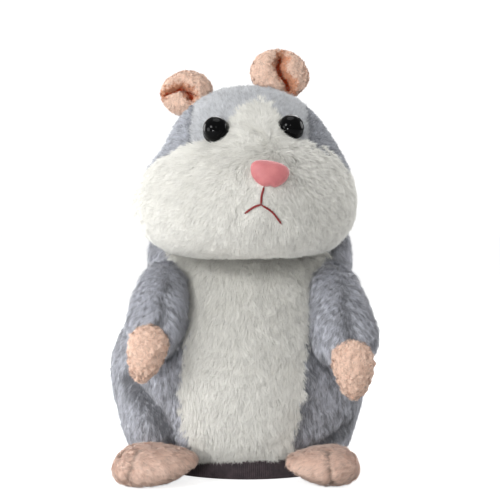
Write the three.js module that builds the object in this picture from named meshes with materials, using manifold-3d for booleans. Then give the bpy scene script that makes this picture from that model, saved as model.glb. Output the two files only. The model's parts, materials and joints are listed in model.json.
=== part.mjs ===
// Sitting plush pet with a geared nodding mechanism, in millimetres.
// +Z is up, the face looks towards -Y and the base rests on Z = 0.
import * as THREE from 'three';
import { mergeVertices } from 'three/addons/utils/BufferGeometryUtils.js';
import Module from 'manifold-3d';

const wasm = await Module();
wasm.setup();

// ---------------------------------------------------------------- driving dimensions

const GAP = 0.35;
// How far a cutting shape runs past the face it opens.
const OVERRUN = 1;
// Half the width of a cutting box that is wider than the pet.
const WIDE = 70;

const BASE = { x: -1, y: 5, radius: 37, floor: 2.4, wall: 1.8, height: 7 };

const CELL = { radius: 5.25, length: 43.3, pitch: 11, z: 8.6, y: 3, tip: 2.2, tipHeight: 1 };
const CONTACT = { halfWidth: 3.6, halfHeight: 3, thickness: 0.5 };
const BAY = { halfWidth: 17, front: -22, back: 28, roof: 14.2, wall: 1.4 };
const DOOR = { halfWidth: 16.6, front: -21.6, back: 27.6, low: 0, thickness: 1.7 };
const DOOR_TAB = { halfWidth: 5, back: 34.4, screwY: 31.4, thickness: 1.4, recess: 1.75 };
const DOOR_SCREW = { shank: 0.85, hole: 1.2, head: 1.7, headHole: 2.1, headLow: 0.1, headTop: 0.6, tip: 4.4 };
const GRIP = { halfWidth: 6, y: 16, count: 4, width: 1, pitch: 2, depth: 0.4 };
const RIB = { thickness: 0.3, low: 12.4, inset: 6 };

const SWITCH = { x: 26, y: 5, travel: 3.5, halfWidth: 3.4, halfLength: 4, height: 4 };
const KNOB = { half: 1.5, neck: 1, low: 0.5, shoulder: 2, top: 4, play: 0.1, slotPlay: 0.4 };

const CHASSIS = { x: -1, y: 3, halfX: 36, halfY: 34, wall: 1.8, low: 7.4, high: 42 };
const SPEAKER = { y: -26.8, z: 29, radius: 12 };
const BOARD = { y: 30, z: 30, width: 22, height: 24, thickness: 1.6 };

// Nod: the whole upper part rocks about an axle that lies along X.
const PIVOT = { y: 0, z: 50, axle: 1.5, limit: THREE.MathUtils.degToRad(8) };
const FOOTING = BAY.roof + BAY.wall + GAP;
const BRACKET = {
  left: -15,
  right: 5,
  thickness: 2,
  flange: 1.5,
  foot: FOOTING,
  // Corners as y and z, from the front of the foot round to the front edge.
  outline: [[-6, FOOTING], [26, FOOTING], [26, 32], [21, 42], [5, 56], [-5, 56], [-8, 44], [-8, 34]],
};
const ROCKER = {
  innerX: 15.7,
  thickness: 2.5,
  top: 84.4,
  bridge: 2.2,
  halfDepth: 6,
  footRadius: 4.5,
  axleEnd: 0.8,
};

// Gear train, from the sector on the rocker down to the motor pinion.
const COARSE = 0.6;
const FINE = 0.5;
const TEETH = { sector: 60, smallB: 12, largeB: 36, smallA: 10, largeA: 30, motor: 10 };
const LAYER = { sector: [-9, -5], middle: [-3.4, -0.4], motor: [1.2, 4.2] };
const AXLE_RADIUS = 1;
const TO_B = THREE.MathUtils.degToRad(-40);
const TO_A = THREE.MathUtils.degToRad(-100);
const TO_MOTOR = THREE.MathUtils.degToRad(168);
const SHAFT_RADIUS = 0.75;
const HUB = { radius: 1.8, play: 0.3, sector: 4.2, sectorReach: 4 };
const CAN = { radius: 9.6, flat: 7.2, length: 17, standOff: 1.6, capRadius: 7, capLength: 2 };
const SPACER = { y: -5, z: 36, radius: 1.6 };

const NECK = 84;
const HEAD_TURN = THREE.MathUtils.degToRad(5);
const HEAD_ROLL = THREE.MathUtils.degToRad(-1.5);
const CORE = { radius: 20, low: 1.5, shoulder: 24, wall: 1.6, mouth: 4 };
const CORE_SCREW = { x: 11, low: -4, shank: 0.8, head: 1.9, headHeight: 1.2, hole: 1.6, slot: 2.2 };

// Cross-sections of the soft solids: height, centre x, centre y, half width, front depth, back depth.
const WELL_RADIUS = 25;
const BODY_SECTIONS = [
  [2.6, -3, 4, 0, 0, 0],
  [2.6, -3, 4, 26, 26, 26],
  [6, -4, 3, 40, 36, 36],
  [14, -4, 2, 45, 39, 40],
  [26, -4, 2, 48, 42, 42],
  [40, -4, 2, 49.5, 43, 42],
  [52, -3, 2, 46, 41, 40],
  [64, -1, 2, 41, 37, 37],
  [75, 0, 3, 37.5, 32, 34],
  [80.8, 0, 3, 33, 27, 31],
  [81.6, 0, 3, 0, 0, 0],
];
const HEAD_SECTIONS = [
  [-1.6, 0, -6, 0, 0, 0],
  [-1.4, 0, -6, 22, 26, 22],
  [2, 0, -6, 32.5, 40, 32],
  [8, 0, -5, 38.5, 46, 37],
  [17, 0, -4, 41, 48, 39],
  [28, 0, -3, 39.5, 47.5, 39],
  [38, 0, -2, 35.5, 41, 37],
  [48, 0, 0, 29.5, 32, 32],
  [56, 0, 1, 21, 22, 22],
  [61, 0, 2, 11, 11.5, 11],
  [62, 0, 2, 0, 0, 0],
];

const ARMS = {
  left: {
    shoulder: [-31, -24, 67],
    path: [[-31, -24, 67], [-34, -30, 60], [-35.5, -37, 52]],
    radii: [11, 12.3, 9.2],
    paw: { at: [-37.7, -42.5, 45.5], size: [7.4, 7, 11], tilt: 24 },
  },
  right: {
    shoulder: [31, -24, 67],
    path: [[31, -24, 67], [35, -30, 57], [35.8, -37, 47]],
    radii: [11, 13, 9.6],
    paw: { at: [37.4, -42.5, 40], size: [8, 7.2, 11.5], tilt: -10 },
  },
};

const EYE = { radius: 5, x: 13.6, y: -33.6, z: 44.8, stem: 1.2, stemLength: 10, stemStart: 3 };
const WASHER = { radius: 4.5, thickness: 1.2, behind: 10 };
const NOSE = { x: 3, y: -51.5, z: 27.6, size: [7, 3.6, 4.8], tilt: 10, stemLength: 9, stemStart: 2.1 };
const THREAD = { radius: 0.45, front: -53.6 };
const EARS = {
  left: { at: [-22.4, 3, 58.6], size: [10.8, 6, 10], lean: -24 },
  right: { at: [13.4, 4, 64.2], size: [11.4, 6, 10.8], lean: 16 },
};
const FEET = {
  left: { at: [-33.2, -39.5, 6.2], size: [15, 15.5, 7], turn: -12 },
  right: { at: [25.6, -39.5, 6.2], size: [13.2, 15.5, 7], turn: 10 },
};

// ---------------------------------------------------------------- materials

const material = (color, roughness, metalness = 0) =>
  new THREE.MeshStandardMaterial({ color, roughness, metalness });

const greyPlush = () => material(0xa6a6b0, 1);
const peachPlush = () => material(0xe8c0a8, 1);
const darkPlastic = () => material(0x37292d, 0.7);
const whitePlastic = () => material(0xd9d9d4, 0.5);
const gearPlastic = () => material(0xe8e4d4, 0.45);
const steel = () => material(0xb4b6ba, 0.3, 1);
const blackGloss = () => material(0x050505, 0.08);
const pinkNose = () => material(0xdf8385, 0.35);
const redThread = () => material(0x8c1012, 0.8);

// ---------------------------------------------------------------- geometry helpers

// A closed geometry becomes a manifold solid once only its positions are left.
function solid(geometry) {
  const bare = geometry.clone();
  bare.deleteAttribute('normal');
  bare.deleteAttribute('uv');
  const merged = mergeVertices(bare, 1e-4);
  const mesh = new wasm.Mesh({
    numProp: 3,
    vertProperties: new Float32Array(merged.attributes.position.array),
    triVerts: new Uint32Array(merged.index.array),
  });
  return new wasm.Manifold(mesh);
}

function geometryOf(body) {
  const mesh = body.getMesh();
  const geometry = new THREE.BufferGeometry();
  geometry.setAttribute('position', new THREE.BufferAttribute(new Float32Array(mesh.vertProperties), 3));
  geometry.setIndex(new THREE.BufferAttribute(new Uint32Array(mesh.triVerts), 1));
  geometry.computeVertexNormals();
  return geometry;
}

const join = (...pieces) => pieces.reduce((whole, piece) => whole.add(piece));
const cut = (body, ...tools) => tools.reduce((rest, tool) => rest.subtract(tool), body);

// Box between two corners.
function box(low, high) {
  const size = high.map((value, axis) => value - low[axis]);
  const centre = high.map((value, axis) => (value + low[axis]) / 2);
  return solid(new THREE.BoxGeometry(...size).translate(...centre));
}

// Upright cylinder between two heights.
function post(x, y, low, high, radius, sides = 24) {
  const geometry = new THREE.CylinderGeometry(radius, radius, high - low, sides);
  return solid(geometry.rotateX(Math.PI / 2).translate(x, y, (low + high) / 2));
}

// Upright elliptic cylinder between two heights.
function oval(x, y, low, high, halfX, halfY, sides = 48) {
  const geometry = new THREE.CylinderGeometry(1, 1, high - low, sides).rotateX(Math.PI / 2);
  return solid(geometry.scale(halfX, halfY, 1).translate(x, y, (low + high) / 2));
}

// Cylinder along X between two places.
function rod(from, to, y, z, radius, sides = 16) {
  const geometry = new THREE.CylinderGeometry(radius, radius, to - from, sides);
  return solid(geometry.rotateZ(Math.PI / 2).translate((from + to) / 2, y, z));
}

// A shape drawn as (Y, Z) and extruded along X.
function plate(shape, from, to) {
  const geometry = new THREE.ExtrudeGeometry(shape, { depth: to - from, bevelEnabled: false, curveSegments: 8 });
  const frame = new THREE.Matrix4().makeBasis(
    new THREE.Vector3(0, 1, 0),
    new THREE.Vector3(0, 0, 1),
    new THREE.Vector3(1, 0, 0),
  );
  return solid(geometry.applyMatrix4(frame).translate(from, 0, 0));
}

function ellipsoid(at, size, turn = [0, 0, 0], detail = 16) {
  const geometry = new THREE.SphereGeometry(1, detail, Math.round(detail * 0.6));
  geometry.scale(...size);
  geometry.applyMatrix4(new THREE.Matrix4().makeRotationFromEuler(new THREE.Euler(...turn)));
  return solid(geometry.translate(...at));
}

// Closed round body through cross-sections stacked upwards; grow makes it larger all round.
function loft(sections, grow = 0, rings = 18, sides = 28) {
  const track = (columns) => new THREE.CatmullRomCurve3(
    sections.map((row) => new THREE.Vector3(...columns.map((column) => row[column]))), false, 'catmullrom', 0.5);
  const middles = track([0, 1, 2]);
  const depths = track([3, 4, 5]);
  const points = [];
  const faces = [];
  for (let ring = 0; ring <= rings; ring += 1) {
    const along = ring / rings;
    const middle = middles.getPoint(along);
    const depth = depths.getPoint(along);
    const pole = ring === 0 || ring === rings;
    const rise = grow * (2 * along - 1);
    const count = pole ? 1 : sides;
    for (let side = 0; side < count; side += 1) {
      const angle = (side / sides) * 2 * Math.PI;
      const reach = Math.sin(angle) < 0 ? depth.y : depth.z;
      const width = pole ? 0 : Math.max(depth.x + grow, 0.2);
      const length = pole ? 0 : Math.max(reach + grow, 0.2);
      points.push(middle.y + width * Math.cos(angle), middle.z + length * Math.sin(angle), middle.x + rise);
    }
  }
  const start = (ring) => (ring === 0 ? 0 : 1 + (ring - 1) * sides);
  for (let ring = 0; ring < rings; ring += 1) {
    for (let side = 0; side < sides; side += 1) {
      const next = (side + 1) % sides;
      const low = start(ring);
      const high = start(ring + 1);
      if (ring === 0) {
        faces.push(low, high + next, high + side);
      } else if (ring === rings - 1) {
        faces.push(low + side, low + next, high);
      } else {
        faces.push(low + side, low + next, high + next, low + side, high + next, high + side);
      }
    }
  }
  const geometry = new THREE.BufferGeometry();
  geometry.setAttribute('position', new THREE.Float32BufferAttribute(points, 3));
  geometry.setIndex(faces);
  return solid(geometry);
}

// ---------------------------------------------------------------- scene graph

const pet = new THREE.Group();
const head = new THREE.Group();
head.position.z = NECK;
head.rotation.set(0, HEAD_ROLL, HEAD_TURN, 'ZYX');
pet.add(head);

function place(name, body, look, parent = pet) {
  const mesh = new THREE.Mesh(geometryOf(body), look);
  mesh.name = name;
  parent.add(mesh);
}

// ---------------------------------------------------------------- base and batteries

const doorOpening = box(
  [-DOOR.halfWidth - GAP, DOOR.front - GAP, -OVERRUN],
  [DOOR.halfWidth + GAP, DOOR.back + GAP, BASE.floor + OVERRUN],
);
const baseDisc = () => post(BASE.x, BASE.y, -OVERRUN, BASE.height + GAP, BASE.radius + GAP, 64);

function basePlate() {
  const { x, y, radius, floor, wall, height } = BASE;
  const top = floor + OVERRUN;
  const cup = cut(post(x, y, 0, height, radius, 64), post(x, y, floor, height + OVERRUN, radius - wall, 64));
  const tab = DOOR_TAB.halfWidth + GAP;
  const tabRecess = box([-tab, DOOR.back, -OVERRUN], [tab, DOOR_TAB.back + GAP, DOOR_TAB.recess]);
  const screwHole = post(0, DOOR_TAB.screwY, -OVERRUN, top, DOOR_SCREW.hole);
  const half = KNOB.half + KNOB.slotPlay;
  const slot = box(
    [SWITCH.x - half, SWITCH.y - half, -OVERRUN],
    [SWITCH.x + half, SWITCH.y + SWITCH.travel + half, top],
  );
  return cut(cup, doorOpening, tabRecess, screwHole, slot);
}

// Cover over the three cells, open at the bottom, with ribs between the cells.
function batteryBox() {
  const { halfWidth, front, back, roof, wall } = BAY;
  const low = BASE.floor + GAP;
  const shell = cut(
    box([-halfWidth - wall, front - wall, low], [halfWidth + wall, back + wall, roof + wall]),
    box([-halfWidth, front, low - OVERRUN], [halfWidth, back, roof]),
  );
  const ribs = [-0.5, 0.5].map((step) => box(
    [step * CELL.pitch - RIB.thickness / 2, front + RIB.inset, RIB.low],
    [step * CELL.pitch + RIB.thickness / 2, back - RIB.inset, roof + wall / 2],
  ));
  return join(shell, ...ribs);
}

// Cell with its raised terminal; every other cell is turned round.
function cell(index) {
  const { radius, length, pitch, z, y, tip, tipHeight } = CELL;
  const end = length + tipHeight;
  const outline = [[0, 0], [radius, 0], [radius, length], [tip, length], [tip, end], [0, end]];
  const geometry = new THREE.LatheGeometry(outline.map(([r, h]) => new THREE.Vector2(r, h)), 20);
  geometry.translate(0, -length / 2, 0);
  if (index % 2) geometry.rotateZ(Math.PI);
  return solid(geometry.translate((index - 1) * pitch, y, z));
}

// Flat spring steel strip on an end wall of the bay, beside the cells.
function contact(index, atFront) {
  const { halfWidth, halfHeight, thickness } = CONTACT;
  const x = (index - 1) * CELL.pitch;
  const low = atFront ? BAY.front + GAP : BAY.back - GAP - thickness;
  return box([x - halfWidth, low, CELL.z - halfHeight], [x + halfWidth, low + thickness, CELL.z + halfHeight]);
}

function batteryDoor() {
  const { halfWidth, front, back, low, thickness } = DOOR;
  const middle = low + thickness / 2;
  const outline = new THREE.Shape();
  outline.moveTo(front + thickness / 2, low);
  outline.lineTo(back, low);
  outline.lineTo(back, low + thickness);
  outline.lineTo(front + thickness / 2, low + thickness);
  outline.absarc(front + thickness / 2, middle, thickness / 2, Math.PI / 2, 1.5 * Math.PI, false);
  const panel = plate(outline, -halfWidth, halfWidth);
  const tab = box(
    [-DOOR_TAB.halfWidth, back - OVERRUN, low],
    [DOOR_TAB.halfWidth, DOOR_TAB.back, DOOR_TAB.thickness],
  );
  const screwHole = post(0, DOOR_TAB.screwY, low - OVERRUN, thickness + OVERRUN, DOOR_SCREW.hole);
  const counterbore = post(0, DOOR_TAB.screwY, low - OVERRUN, DOOR_SCREW.headTop + GAP, DOOR_SCREW.headHole);
  const grips = Array.from({ length: GRIP.count }, (unused, row) => {
    const start = GRIP.y + GRIP.pitch * row;
    return box([-GRIP.halfWidth, start, low - OVERRUN], [GRIP.halfWidth, start + GRIP.width, low + GRIP.depth]);
  });
  return cut(join(panel, tab), screwHole, counterbore, ...grips);
}

function doorScrew() {
  const { shank, head: top, headLow, headTop, tip } = DOOR_SCREW;
  return join(
    post(0, DOOR_TAB.screwY, headLow, headTop, top, 12),
    post(0, DOOR_TAB.screwY, (headLow + headTop) / 2, tip, shank, 12),
  );
}

function switchBody() {
  const { x, y, travel, halfWidth, halfLength, height } = SWITCH;
  const low = BASE.floor + GAP;
  const half = KNOB.half + KNOB.play;
  const block = box(
    [x - halfWidth, y - halfLength, low],
    [x + halfWidth, y + travel + halfLength, low + height],
  );
  const track = box([x - half, y - half, low - OVERRUN], [x + half, y + travel + half, low + height / 2]);
  return cut(block, track);
}

function switchKnob() {
  const { x, y } = SWITCH;
  const { half, neck, low, shoulder, top } = KNOB;
  return join(
    box([x - half, y - half, low], [x + half, y + half, shoulder]),
    box([x - neck, y - neck, (low + shoulder) / 2], [x + neck, y + neck, top]),
  );
}

place('base_plate', basePlate(), darkPlastic());
place('battery_box', batteryBox(), whitePlastic());
for (let index = 0; index < 3; index += 1) {
  place(`cell_${index + 1}`, cell(index), steel());
  place(`contact_front_${index + 1}`, contact(index, true), steel());
  place(`contact_back_${index + 1}`, contact(index, false), steel());
}
place('battery_door', batteryDoor(), darkPlastic());
place('door_screw', doorScrew(), steel());
place('switch_body', switchBody(), whitePlastic());
place('switch_knob', switchKnob(), whitePlastic());

// ---------------------------------------------------------------- chassis, sound and electronics

const speakerHole = solid(new THREE.CylinderGeometry(SPEAKER.radius - 1, SPEAKER.radius - 1, 20, 24)
  .translate(0, SPEAKER.y, SPEAKER.z));

// Half of the tub that holds the works; the seam lies across the middle.
function chassisHalf(side) {
  const { x, y, halfX, halfY, wall, low, high } = CHASSIS;
  const outer = oval(x, y, low, high, halfX, halfY);
  const inner = oval(x, y, low - OVERRUN, high + OVERRUN, halfX - wall, halfY - wall);
  const seam = y + side * GAP / 2;
  const keep = side < 0
    ? box([-WIDE, -WIDE, 0], [WIDE, seam, WIDE])
    : box([-WIDE, seam, 0], [WIDE, WIDE, WIDE]);
  const ring = outer.subtract(inner).intersect(keep);
  return side < 0 ? cut(ring, speakerHole) : ring;
}

// Turned ring or disc with its axis along Y, centred on the speaker.
function speakerPiece(outline) {
  const geometry = new THREE.LatheGeometry(outline.map(([r, h]) => new THREE.Vector2(r, h)), 24);
  return solid(geometry.translate(0, SPEAKER.y, SPEAKER.z));
}

function speakerBasket() {
  const { radius } = SPEAKER;
  return speakerPiece([
    [4.4, 6.2], [radius - 2.5, 2.6], [radius - 1.2, 2.6], [radius - 1.2, 0.6], [radius - 0.4, 0.6],
    [radius - 0.4, 3.4], [radius - 2, 3.4], [4.4, 7.2], [4.4, 6.2],
  ]);
}

function speakerCone() {
  const { radius } = SPEAKER;
  return speakerPiece([[0, 4.8], [4, 4.4], [radius - 2, 1.2], [radius - 1.6, 1.5], [4, 5.4], [0, 5.8]]);
}

const speakerMagnet = () => speakerPiece([[0, 7.6], [6.5, 7.6], [6.5, 10.6], [0, 10.6]]);

function circuitBoard() {
  const { y, z, width, height, thickness } = BOARD;
  return box([-width / 2, y, z - height / 2], [width / 2, y + thickness, z + height / 2]);
}

const boardFace = BOARD.y - GAP;
const soundChip = () => box([3, boardFace - 1.4, 30], [10, boardFace, 37]);

function boardCan(x, z, radius, depth) {
  const geometry = new THREE.CylinderGeometry(radius, radius, depth, 16);
  return solid(geometry.translate(x, boardFace - depth / 2, z));
}

place('chassis_front', chassisHalf(-1), whitePlastic());
place('chassis_back', chassisHalf(1), whitePlastic());
place('speaker_basket', speakerBasket(), steel());
place('speaker_cone', speakerCone(), darkPlastic());
place('speaker_magnet', speakerMagnet(), steel());
place('circuit_board', circuitBoard(), material(0x2d6b3c, 0.5));
place('sound_chip', soundChip(), darkPlastic());
place('capacitor', boardCan(-7, 22, 3, 7), steel());
place('microphone', boardCan(6, 22, 3, 2.7), steel());

// ---------------------------------------------------------------- gear train

const polar = (centre, angle, reach) => ({
  y: centre.y + reach * Math.cos(angle),
  z: centre.z + reach * Math.sin(angle),
});
const pitchRadius = (teeth, size) => (teeth * size) / 2;
const GEAR_B = polar(PIVOT, TO_B, pitchRadius(TEETH.sector + TEETH.smallB, COARSE));
const GEAR_A = polar(GEAR_B, TO_A, pitchRadius(TEETH.largeB + TEETH.smallA, FINE));
const MOTOR = polar(GEAR_A, TO_MOTOR, pitchRadius(TEETH.largeA + TEETH.motor, FINE));

// Angle of a tooth on the driven gear that puts it in mesh with the driver at rest.
function meshed(driverTeeth, driverTooth, drivenTeeth, direction) {
  return direction + Math.PI - (Math.PI - driverTeeth * (direction - driverTooth)) / drivenTeeth;
}

const PHASE_B_SMALL = meshed(TEETH.sector, TO_B, TEETH.smallB, TO_B);
const PHASE_B_LARGE = 0;
const PHASE_A_SMALL = meshed(TEETH.largeB, PHASE_B_LARGE, TEETH.smallA, TO_A);
const PHASE_A_LARGE = 0;
const PHASE_MOTOR = meshed(TEETH.largeA, PHASE_A_LARGE, TEETH.motor, TO_MOTOR);

// Outline points of the teeth from first to last, as [y, z] about the gear's centre.
function toothPoints(teeth, size, phase, first, last) {
  const pitch = (2 * Math.PI) / teeth;
  const radius = pitchRadius(teeth, size);
  const profile = [[-0.27, -1.15], [-0.1, 0.75], [0.1, 0.75], [0.27, -1.15]];
  const points = [];
  for (let tooth = first; tooth <= last; tooth += 1) {
    for (const [across, out] of profile) {
      const spot = polar({ y: 0, z: 0 }, phase + (tooth + across) * pitch, radius + out * size);
      points.push(new THREE.Vector2(spot.y, spot.z));
    }
  }
  return points;
}

function gear(centre, teeth, size, phase, layer, bore) {
  const shape = new THREE.Shape(toothPoints(teeth, size, phase, 0, teeth - 1));
  if (bore) shape.holes.push(new THREE.Path().absarc(0, 0, bore, 0, 2 * Math.PI, true));
  return plate(shape, ...layer).translate(0, centre.y, centre.z);
}

function compoundGear(centre, parts, from, to) {
  const hub = rod(from, to, centre.y, centre.z, HUB.radius);
  const wheels = parts.map(([teeth, size, phase, layer]) => gear(centre, teeth, size, phase, layer, 0));
  const bore = rod(from - OVERRUN, to + OVERRUN, centre.y, centre.z, AXLE_RADIUS + HUB.play);
  return cut(join(hub, ...wheels), bore);
}

function motorPinion() {
  const [from, to] = LAYER.motor;
  return join(
    gear(MOTOR, TEETH.motor, FINE, PHASE_MOTOR, [from, to], 0),
    rod((from + to) / 2, BRACKET.right + BRACKET.thickness + 2 * CAN.standOff, MOTOR.y, MOTOR.z, SHAFT_RADIUS),
  );
}

// Toothed part of a wheel with a hub on the rocker's axle.
function sectorGear() {
  const shape = new THREE.Shape(toothPoints(TEETH.sector, COARSE, TO_B, -HUB.sectorReach, HUB.sectorReach));
  const halfTurn = Math.PI / 2;
  shape.absarc(0, 0, HUB.sector, TO_B + halfTurn, TO_B - halfTurn, false);
  shape.holes.push(new THREE.Path().absarc(0, 0, PIVOT.axle + GAP, 0, 2 * Math.PI, true));
  return plate(shape, ...LAYER.sector).translate(0, PIVOT.y, PIVOT.z);
}

// Side plate of the gearbox with its foot on the battery cover.
function gearBracket(left) {
  const from = left ? BRACKET.left : BRACKET.right;
  const to = from + BRACKET.thickness;
  const outline = new THREE.Shape(BRACKET.outline.map(([y, z]) => new THREE.Vector2(y, z)));
  const half = BRACKET.thickness / 2;
  const footing = left ? [from - BRACKET.flange, from + half] : [to - half, to + BRACKET.flange];
  const flange = box(
    [footing[0], BRACKET.outline[0][0] + OVERRUN, BRACKET.foot],
    [footing[1], BRACKET.outline[1][0] - OVERRUN, BRACKET.foot + BRACKET.flange],
  );
  const hole = (spot, radius) => rod(from - OVERRUN, to + OVERRUN, spot.y, spot.z, radius);
  const holes = [hole(PIVOT, PIVOT.axle + GAP), hole(GEAR_A, AXLE_RADIUS + GAP), hole(GEAR_B, AXLE_RADIUS + GAP)];
  return cut(join(plate(outline, from, to), flange), ...holes, hole(MOTOR, SHAFT_RADIUS + GAP));
}

const CAN_START = BRACKET.right + BRACKET.thickness + CAN.standOff + GAP;

// Can motor with two flats, bored for its shaft.
function motorCan() {
  const { radius, flat, length } = CAN;
  const corner = Math.asin(flat / radius);
  const shape = new THREE.Shape();
  shape.absarc(0, 0, radius, -corner, corner, false);
  shape.absarc(0, 0, radius, Math.PI - corner, Math.PI + corner, false);
  const can = plate(shape, CAN_START, CAN_START + length).translate(0, MOTOR.y, MOTOR.z);
  const bore = rod(CAN_START - OVERRUN, CAN_START + 2 * CAN.standOff, MOTOR.y, MOTOR.z, SHAFT_RADIUS + GAP);
  return cut(can, bore);
}

function motorCap() {
  const from = CAN_START + CAN.length + GAP;
  return rod(from, from + CAN.capLength, MOTOR.y, MOTOR.z, CAN.capRadius, 24);
}

const fixedAxle = (centre) => rod(
  BRACKET.left - 0.6, BRACKET.right + BRACKET.thickness + 0.6, centre.y, centre.z, AXLE_RADIUS);

function gearboxSpacer({ y, z, radius }) {
  return rod(BRACKET.left + BRACKET.thickness + GAP, BRACKET.right - GAP, y, z, radius);
}

place('gear_bracket_left', gearBracket(true), whitePlastic());
place('gear_bracket_right', gearBracket(false), whitePlastic());
place('gearbox_spacer', gearboxSpacer(SPACER), steel());
place('axle_a', fixedAxle(GEAR_A), steel());
place('axle_b', fixedAxle(GEAR_B), steel());
place('motor_can', motorCan(), steel());
place('motor_cap', motorCap(), whitePlastic());
place('motor_pinion', motorPinion(), gearPlastic());
place('gear_a', compoundGear(GEAR_A, [
  [TEETH.largeA, FINE, PHASE_A_LARGE, LAYER.motor],
  [TEETH.smallA, FINE, PHASE_A_SMALL, LAYER.middle],
], LAYER.middle[0], LAYER.motor[1]), gearPlastic());
place('gear_b', compoundGear(GEAR_B, [
  [TEETH.largeB, FINE, PHASE_B_LARGE, LAYER.middle],
  [TEETH.smallB, COARSE, PHASE_B_SMALL, LAYER.sector],
], LAYER.sector[0], LAYER.middle[1]), gearPlastic());
place('sector_gear', sectorGear(), gearPlastic());

// ---------------------------------------------------------------- rocker

// Yoke that stands on the axle and carries the head on its bridge.
function rockerFrame() {
  const { innerX, thickness, top, bridge: deep, halfDepth, footRadius } = ROCKER;
  const cheek = new THREE.Shape();
  cheek.moveTo(-halfDepth, top - deep / 2);
  cheek.absarc(PIVOT.y, PIVOT.z, footRadius, Math.PI, 2 * Math.PI, false);
  cheek.lineTo(halfDepth, top - deep / 2);
  const cheeks = [-innerX - thickness, innerX].map((from) => plate(cheek, from, from + thickness));
  const span = innerX + thickness;
  const bridge = box([-span, -halfDepth, top - deep], [span, halfDepth, top]);
  const axleHole = rod(-span - OVERRUN, span + OVERRUN, PIVOT.y, PIVOT.z, PIVOT.axle + GAP);
  const screwHoles = [-1, 1].map((side) => post(
    side * CORE_SCREW.x, 0, top - deep - OVERRUN, top + OVERRUN, CORE_SCREW.slot, 12));
  return cut(join(bridge, ...cheeks), axleHole, ...screwHoles);
}

function pivotAxle() {
  const half = ROCKER.innerX + ROCKER.thickness + ROCKER.axleEnd;
  return rod(-half, half, PIVOT.y, PIVOT.z, PIVOT.axle);
}

place('rocker_frame', rockerFrame(), whitePlastic());
place('pivot_axle', pivotAxle(), steel());

// ---------------------------------------------------------------- head, in its own frame from the neck up

// Hard shell that the stuffing is pulled over; its floor is screwed to the rocker.
function headCore() {
  const { radius, low, shoulder, wall, mouth } = CORE;
  const inner = radius - wall;
  const arc = (size, from, to) => Array.from({ length: 7 }, (unused, step) => {
    const angle = from + ((to - from) * step) / 6;
    return [size * Math.cos(angle), shoulder + size * Math.sin(angle)];
  });
  const outline = [
    [mouth, low], [radius, low], ...arc(radius, 0, Math.PI / 2).slice(0, -1), [0, shoulder + radius],
    [0, shoulder + inner], ...arc(inner, Math.PI / 2, 0).slice(1), [inner, low + wall], [mouth, low + wall],
    [mouth, low],
  ];
  const geometry = new THREE.LatheGeometry(outline.map(([r, h]) => new THREE.Vector2(r, h)), 28);
  const holes = [-1, 1].map((side) => post(
    side * CORE_SCREW.x, 0, low - OVERRUN, low + wall + OVERRUN, CORE_SCREW.hole, 12));
  return cut(solid(geometry.rotateX(Math.PI / 2)), ...holes);
}

function coreScrew(x) {
  const { low, shank, head: top, headHeight } = CORE_SCREW;
  const seat = CORE.low + CORE.wall + 4 * GAP;
  return join(
    post(x, 0, low, seat + headHeight / 2, shank, 12),
    post(x, 0, seat, seat + headHeight, top, 12),
  );
}

const beads = [-1, 1].map((side) => ({
  name: side < 0 ? 'left' : 'right',
  at: [side * EYE.x, EYE.y, EYE.z],
}));

// Bead with its stem pointing back into the stuffing.
function eye({ at }, grow = 0) {
  const [x, y, z] = at;
  const { radius, stem: thin, stemLength, stemStart } = EYE;
  const bead = ellipsoid(at, [radius + grow, radius + grow, radius + grow]);
  const stem = new THREE.CylinderGeometry(thin + grow, thin + grow, stemLength + grow, 12);
  return bead.add(solid(stem.translate(x, y + stemStart + (stemLength + grow) / 2, z)));
}

function washer({ at }, grow = 0) {
  const [x, y, z] = at;
  const disc = (radius, depth) => solid(
    new THREE.CylinderGeometry(radius, radius, depth, 20).translate(x, y + WASHER.behind, z));
  const whole = disc(WASHER.radius + grow, WASHER.thickness + 2 * grow);
  return grow ? whole : whole.subtract(disc(EYE.stem + GAP, WASHER.thickness + OVERRUN));
}

function nose(grow = 0) {
  const { x, y, z, size, tilt, stemLength, stemStart } = NOSE;
  const roll = THREE.MathUtils.degToRad(tilt);
  const body = ellipsoid([x, y, z], size.map((value) => value + grow), [0, roll, 0]);
  const stem = new THREE.CylinderGeometry(EYE.stem + grow, EYE.stem + grow, stemLength + grow, 12);
  return body.add(solid(stem.translate(x, y + stemStart + (stemLength + grow) / 2, z)));
}

const NOSE_WASHER = { at: [NOSE.x, NOSE.y - 1, NOSE.z] };

function ear({ at, size, lean }, grow = 0) {
  const tilt = THREE.MathUtils.degToRad(lean);
  const shell = ellipsoid(at, size.map((value) => value + grow), [0, tilt, 0]);
  const bowl = [at[0], at[1] - size[1], at[2] + OVERRUN];
  const hollow = ellipsoid(bowl, size.map((value) => value * 0.75), [0, tilt, 0], 12);
  return grow ? shell : shell.subtract(hollow);
}

const headOuter = loft(HEAD_SECTIONS);
const headGrown = loft(HEAD_SECTIONS, GAP);

// Stuffed head, hollow for the core and open under it.
function headSkin() {
  const { radius, shoulder } = CORE;
  const dome = ellipsoid([0, 0, shoulder], [radius + GAP, radius + GAP, radius + GAP], [Math.PI / 2, 0, 0], 20);
  const well = post(0, 0, HEAD_SECTIONS[0][0] - OVERRUN, shoulder, radius + 2 * GAP, 20);
  const hardware = [
    ...beads.map((bead) => eye(bead, GAP)),
    ...beads.map((bead) => washer(bead, GAP)),
    nose(GAP),
    washer(NOSE_WASHER, GAP),
  ];
  return cut(headOuter, dome, well, ...hardware);
}

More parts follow.
